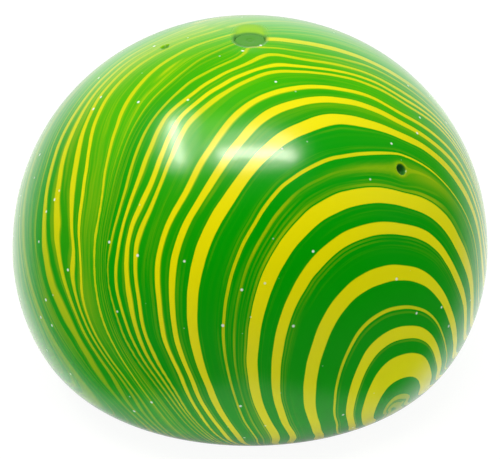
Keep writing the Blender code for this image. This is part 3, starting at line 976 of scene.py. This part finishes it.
# %% Plug
HEAD_RADIUS, HEAD_BULGE, HEAD_THICKNESS = DIMPLE_RADIUS - FIT_GAP, 0.13, 1.1
STEM_RADIUS, GLUE_THICKNESS = BORE_RADIUS - FIT_GAP, 0.6
BARB_RADIUS, BARB_RIM, BARB_LENGTH, TIP_RADIUS = 2.9, 0.6, 2.3, 0.9
PLUG_FILLET, PLUG_SEGMENTS = 0.3, 72
HEAD_FOOT = NECK_SEAT + GLUE_THICKNESS + 2.0 * FIT_GAP
HEAD_TOP = HEAD_FOOT + HEAD_THICKNESS
BARB_TOP = COLLAR_FOOT - FIT_GAP
BARB_TIP = BARB_TOP - BARB_LENGTH
head_ring = [
    (0.0, HEAD_TOP - 0.05), (0.35, HEAD_TOP - 0.05), (0.5, HEAD_TOP - 0.12), (0.65, HEAD_TOP - 0.03),
]
rounded = filleted([
    (0.8, HEAD_TOP), (HEAD_RADIUS, HEAD_TOP - 0.02), (HEAD_RADIUS + HEAD_BULGE, HEAD_TOP - 0.12),
    (HEAD_RADIUS, HEAD_FOOT), (STEM_RADIUS, HEAD_FOOT), (STEM_RADIUS, BARB_TOP), (BARB_RADIUS, BARB_TOP),
    (BARB_RADIUS, BARB_TOP - BARB_RIM), (TIP_RADIUS, BARB_TIP), (0.0, BARB_TIP),
], PLUG_FILLET)
plug = turned_mesh("push_in_plug", np.concatenate([head_ring, rounded]), PLUG_SEGMENTS)
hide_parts("fill_plug")
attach(plug, "crown")
print("plug from", round(BARB_TIP, 1), "to", round(HEAD_TOP, 1), "mm")

# %% [markdown]
# The plug is the same rubber in one darker green, moulded in a rougher tool, so it is duller than the skin.
# A fine grain in its colour and roughness and a little bump keep it from looking like wax.

# %% Plug material
PLUG_GRAIN, GRAIN_HEIGHT = 0.35, 0.02
GRAIN_DARK, GRAIN_PALE = "44881e", "52982a"
plug_rubber, tree, plug_shader = new_material("dark_green_thermoplastic_rubber_moulded")
place_on_plug = add_node(tree, "ShaderNodeTexCoord").outputs["Object"]
grain = add_node(
    tree, "ShaderNodeTexNoise", {"Vector": place_on_plug, "Scale": 1.0 / (PLUG_GRAIN * MM), "Detail": 2.0}
)
plug_gloss = add_node(tree, "ShaderNodeMapRange", {"Value": grain, "To Min": 0.35, "To Max": 0.6})
plug_colour = add_node(
    tree, "ShaderNodeMix", {0: grain, 6: hex_to_linear(GRAIN_DARK), 7: hex_to_linear(GRAIN_PALE)},
    data_type="RGBA",
)
plug_bump = add_node(
    tree, "ShaderNodeBump", {"Height": grain, "Strength": 0.3, "Distance": GRAIN_HEIGHT * MM}
)
wire(tree, plug_shader, {
    "Base Color": plug_colour, "Roughness": plug_gloss, "Normal": plug_bump, "IOR": 1.45,
})
plug.data.materials.append(plug_rubber)
print("plug grain:", PLUG_GRAIN, "mm")

# %% [markdown]
# ## The bead of glue
# Under the head a bead of clear glue seals the neck. Pressed flat by the plug, it bulges outwards
# unevenly, so its outer edge wanders a little. It is a closed ring: a turned section that joins itself.

# %% Glue bead
BEAD_FOOT, BEAD_TURNS, BEAD_SQUARENESS = NECK_SEAT + FIT_GAP, 20, 0.7
# The outer edge draws in by 0.08 mm and wanders in waves: height in mm, waves round the bead, start
BEAD_DRAWN_IN, BEAD_WAVES = 0.08, [(0.06, 4.0, 0.0), (0.04, 7.0, 1.0)]


def squared(wave):
    """A sine or cosine made fuller, so that a circle becomes a rounded square."""
    return np.sign(wave) * np.abs(wave) ** BEAD_SQUARENESS


bead_turns = np.linspace(0.0, 2.0 * math.pi, BEAD_TURNS, endpoint=False)
bead_middle, bead_half = 0.5 * (BORE_RADIUS + HEAD_RADIUS), 0.5 * (HEAD_RADIUS - BORE_RADIUS)
bead_section = np.stack([
    bead_middle + bead_half * squared(np.cos(bead_turns)),
    BEAD_FOOT + 0.5 * GLUE_THICKNESS * (1.0 + squared(np.sin(bead_turns))),
], axis=1)
bead = turned_mesh("squeezed_glue_bead", bead_section, PLUG_SEGMENTS, closed=True)
bead_points = points_of(bead)
bead_radius = np.hypot(bead_points[:, 0], bead_points[:, 1])
bead_turn = np.arctan2(bead_points[:, 1], bead_points[:, 0])
wander = sum(size * np.sin(count * bead_turn + start) for size, count, start in BEAD_WAVES) - BEAD_DRAWN_IN
outer_part = ease(bead_middle, HEAD_RADIUS, bead_radius)
bead_points[:, :2] *= (1.0 + wander * outer_part / bead_radius)[:, None]
bead.data.vertices.foreach_set("co", (bead_points * MM).ravel())
bead.data.update()
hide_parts("plug_glue_ring")
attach(bead, "crown")
print("bead reaches out to", round(np.hypot(bead_points[:, 0], bead_points[:, 1]).max(), 2), "mm")

# %% [markdown]
# Rubber cement cures to a clear, faintly yellow film. The eye sees a wet gloss with some light coming
# through, and clouds under a millimetre wide where it cured unevenly.

# %% Glue material
CLOUD_SIZE, GLUE_YELLOW, GLUE_PALE = 0.8, "d8d2a0", "efeccf"
glue, tree, glue_shader = new_material("clear_rubber_cement_cured")
place_on_bead = add_node(tree, "ShaderNodeTexCoord").outputs["Object"]
cloud = add_node(tree, "ShaderNodeTexNoise", {"Vector": place_on_bead, "Scale": 1.0 / (CLOUD_SIZE * MM)})
glue_colour = add_node(
    tree, "ShaderNodeMix", {0: cloud, 6: hex_to_linear(GLUE_YELLOW), 7: hex_to_linear(GLUE_PALE)},
    data_type="RGBA",
)
wire(tree, glue_shader, {
    "Base Color": glue_colour, "Roughness": 0.15, "IOR": 1.47, "Transmission Weight": 0.5,
})
bead.data.materials.append(glue)
print("clouds in the glue:", CLOUD_SIZE, "mm")

# %% [markdown]
# ## Floor
# The ball lies on plain white paper. Uncoated paper is matte, so it gets no gloss at all. The camera sees
# it as almost pure white: mostly emission, on a grey base that still takes a faint contact shadow. For
# light that bounces onto the ball, it is a white sheet near the ball on a greyer table, or the underside
# would glow. Reflections don't show the floor, because the world has a ground of its own.

# %% White paper floor
FLOOR_HALF, FLOOR_DROP = 3.0, 0.15 * MM
floor_corners = [
    (x * FLOOR_HALF, y * FLOOR_HALF, -FLOOR_DROP) for x, y in ((-1, -1), (1, -1), (1, 1), (-1, 1))
]
floor_mesh = bpy.data.meshes.new("paper_floor")
floor_mesh.from_pydata(floor_corners, [], [(0, 1, 2, 3)])
floor = bpy.data.objects.new("paper_floor", floor_mesh)
bpy.context.scene.collection.objects.link(floor)
floor.visible_glossy = False
print("floor", 2 * FLOOR_HALF, "m square")

# %% Paper material
PAPER_SEEN, WHITE = 0.94, "ffffff"
PAPER_FOR_LIGHT, TABLE_FOR_LIGHT, PAPER_FOR_CAMERA = "f2fcf4", "a0a4a0", "5a5a5a"
SHEET_EDGE = (90.0, 170.0)
paper, tree, paper_shader = new_material("white_paper")
rays = add_node(tree, "ShaderNodeLightPath").outputs
seen = add_node(
    tree, "ShaderNodeMath", {0: rays["Is Camera Ray"], 1: rays["Is Transmission Ray"]}, operation="ADD",
    use_clamp=True,
)
seen_level = add_node(tree, "ShaderNodeMath", {0: seen, 1: PAPER_SEEN}, operation="MULTIPLY")
spot = add_node(tree, "ShaderNodeNewGeometry").outputs["Position"]
spot_away = add_node(tree, "ShaderNodeVectorMath", {0: spot}, operation="LENGTH")
off_sheet = add_node(
    tree, "ShaderNodeMapRange",
    {"Value": spot_away, "From Min": SHEET_EDGE[0] * MM, "From Max": SHEET_EDGE[1] * MM},
)
bounce = add_node(
    tree, "ShaderNodeMix",
    {0: off_sheet, 6: hex_to_linear(PAPER_FOR_LIGHT), 7: hex_to_linear(TABLE_FOR_LIGHT)}, data_type="RGBA",
)
paper_colour = add_node(
    tree, "ShaderNodeMix", {0: seen, 6: bounce, 7: hex_to_linear(PAPER_FOR_CAMERA)}, data_type="RGBA"
)
wire(tree, paper_shader, {
    "Base Color": paper_colour, "Roughness": 0.9, "Specular IOR Level": 0.0,
    "Emission Color": hex_to_linear(WHITE), "Emission Strength": seen_level,
})
floor_mesh.materials.append(paper)
print("the sheet ends", SHEET_EDGE[0], "to", SHEET_EDGE[1], "mm from the ball's axis")

# %% [markdown]
# ## Surroundings
# The world is white where the camera looks past the floor. Its soft light on the ball is dim in front and
# bright behind, with a cool tint, as in a room with a white cove behind the ball. In reflections only that
# far side is white, and the ground is half as bright, because the floor itself doesn't show in them.

# %% World in reflections
COVE_LEVEL, ROOM_LEVEL, COVE_RANGE = 1.0, 0.0, (0.40, 0.92)
GROUND_LEVEL, GROUND_RANGE, GROUND_CURVE = 0.5, (-0.55, -0.75), 0.35
FAR_SIDE = (0.0, math.cos(CAMERA_RISE), -math.sin(CAMERA_RISE))
world = bpy.data.worlds.new("white_cove")
bpy.context.scene.world = world
world.use_nodes = True
tree = world.node_tree
toward = add_node(tree, "ShaderNodeTexCoord").outputs["Generated"]
direction = add_node(tree, "ShaderNodeSeparateXYZ", {0: toward}).outputs
to_far_side = add_node(tree, "ShaderNodeVectorMath", {0: toward, 1: FAR_SIDE}, operation="DOT_PRODUCT")
cove = add_node(
    tree, "ShaderNodeMapRange",
    {"Value": to_far_side, "From Min": COVE_RANGE[0], "From Max": COVE_RANGE[1],
     "To Min": ROOM_LEVEL, "To Max": COVE_LEVEL}, interpolation_type="SMOOTHSTEP",
)
sideways = add_node(tree, "ShaderNodeMath", {0: direction["X"]}, operation="ABSOLUTE")
steepness = add_node(
    tree, "ShaderNodeMath", {0: sideways, 1: GROUND_CURVE, 2: direction["Z"]}, operation="MULTIPLY_ADD"
)
ground = add_node(
    tree, "ShaderNodeMapRange",
    {"Value": steepness, "From Min": GROUND_RANGE[0], "From Max": GROUND_RANGE[1]},
    interpolation_type="SMOOTHSTEP",
)
mirrored = add_node(tree, "ShaderNodeMix", {0: ground, 2: cove, 3: GROUND_LEVEL}, data_type="FLOAT")
print("reflections see", COVE_LEVEL, "on the far side and", GROUND_LEVEL, "on the ground")

# %% World as soft light and as background
SOFT_FRONT, SOFT_BEHIND, SOFT_RANGE, SOFT_TINT = 0.10, 0.92, (-0.8, 0.2), "e8fff6"
soft = add_node(
    tree, "ShaderNodeMapRange",
    {"Value": direction["Y"], "From Min": SOFT_RANGE[0], "From Max": SOFT_RANGE[1],
     "To Min": SOFT_FRONT, "To Max": SOFT_BEHIND}, interpolation_type="SMOOTHSTEP",
)
rays = add_node(tree, "ShaderNodeLightPath").outputs
plain_rays = add_node(
    tree, "ShaderNodeMath", {0: rays["Is Camera Ray"], 1: rays["Is Transmission Ray"]}, operation="ADD",
    use_clamp=True,
)
white_rays = add_node(
    tree, "ShaderNodeMath", {0: plain_rays, 1: rays["Is Glossy Ray"]}, operation="ADD", use_clamp=True
)
lit = add_node(tree, "ShaderNodeMix", {0: plain_rays, 2: soft, 3: 1.0}, data_type="FLOAT")
level = add_node(tree, "ShaderNodeMix", {0: rays["Is Glossy Ray"], 2: lit, 3: mirrored}, data_type="FLOAT")
tint = add_node(
    tree, "ShaderNodeMix", {0: white_rays, 6: hex_to_linear(SOFT_TINT), 7: hex_to_linear(WHITE)},
    data_type="RGBA",
)
wire(tree, tree.nodes["Background"], {"Color": tint, "Strength": level})
print("soft light from", SOFT_FRONT, "in front to", SOFT_BEHIND, "behind")

# %% [markdown]
# ## Lamps
# Two highlights in the photograph show what lit the ball: a wide bar overhead and a narrow strip to the
# left, both about 60 cm up. Reflecting the camera's rays at the highlights gives where the lamps hang.
# Three larger dim ovals just above them give the soft glow round the highlights. A lamp's radiance, not its
# watts, sets how bright its reflection is, so the power follows from the radiance and the area.

# %% Lamps
LAMP_HEIGHT, LAMP_WHITE = 600.0, "fff7ec"
# Rows: place in x and y, lift above the lamp height, width, depth, turn in degrees, radiance
LAMPS = {
    "overhead_bar": (30.0, -140.0, 0.0, 330.0, 60.0, 0.0, 17.0),
    "left_strip": (-322.0, -4.0, 0.0, 50.0, 290.0, -4.0, 20.0),
    "bar_glow": (10.0, -125.0, 5.0, 440.0, 250.0, 0.0, 2.7),
    "strip_glow": (-318.0, 0.0, 5.0, 230.0, 430.0, -12.0, 2.4),
    "wide_glow": (-80.0, -90.0, 10.0, 700.0, 330.0, 0.0, 0.5),
}
for name, (x, y, lift, width, depth, turn_degrees, radiance) in LAMPS.items():
    lamp_data = bpy.data.lights.new(name, "AREA")
    lamp_data.shape = "ELLIPSE" if "glow" in name else "RECTANGLE"
    lamp_data.color = hex_to_linear(LAMP_WHITE)[:3]
    lamp_data.size, lamp_data.size_y = width * MM, depth * MM
    lamp_data.energy = radiance * math.pi * width * depth * MM * MM
    lamp = bpy.data.objects.new(name, lamp_data)
    bpy.context.scene.collection.objects.link(lamp)
    lamp.location = (x * MM, y * MM, (LAMP_HEIGHT + lift) * MM)
    lamp.rotation_euler = (0.0, 0.0, math.radians(turn_degrees))
    lamp.visible_camera = False
    print(name, "power", round(lamp_data.energy, 2), "W")

# %% [markdown]
# ## View transform
# The view transform is Standard, so that a colour renders as it is written.

# %% View transform
bpy.context.scene.view_settings.view_transform = "Standard"
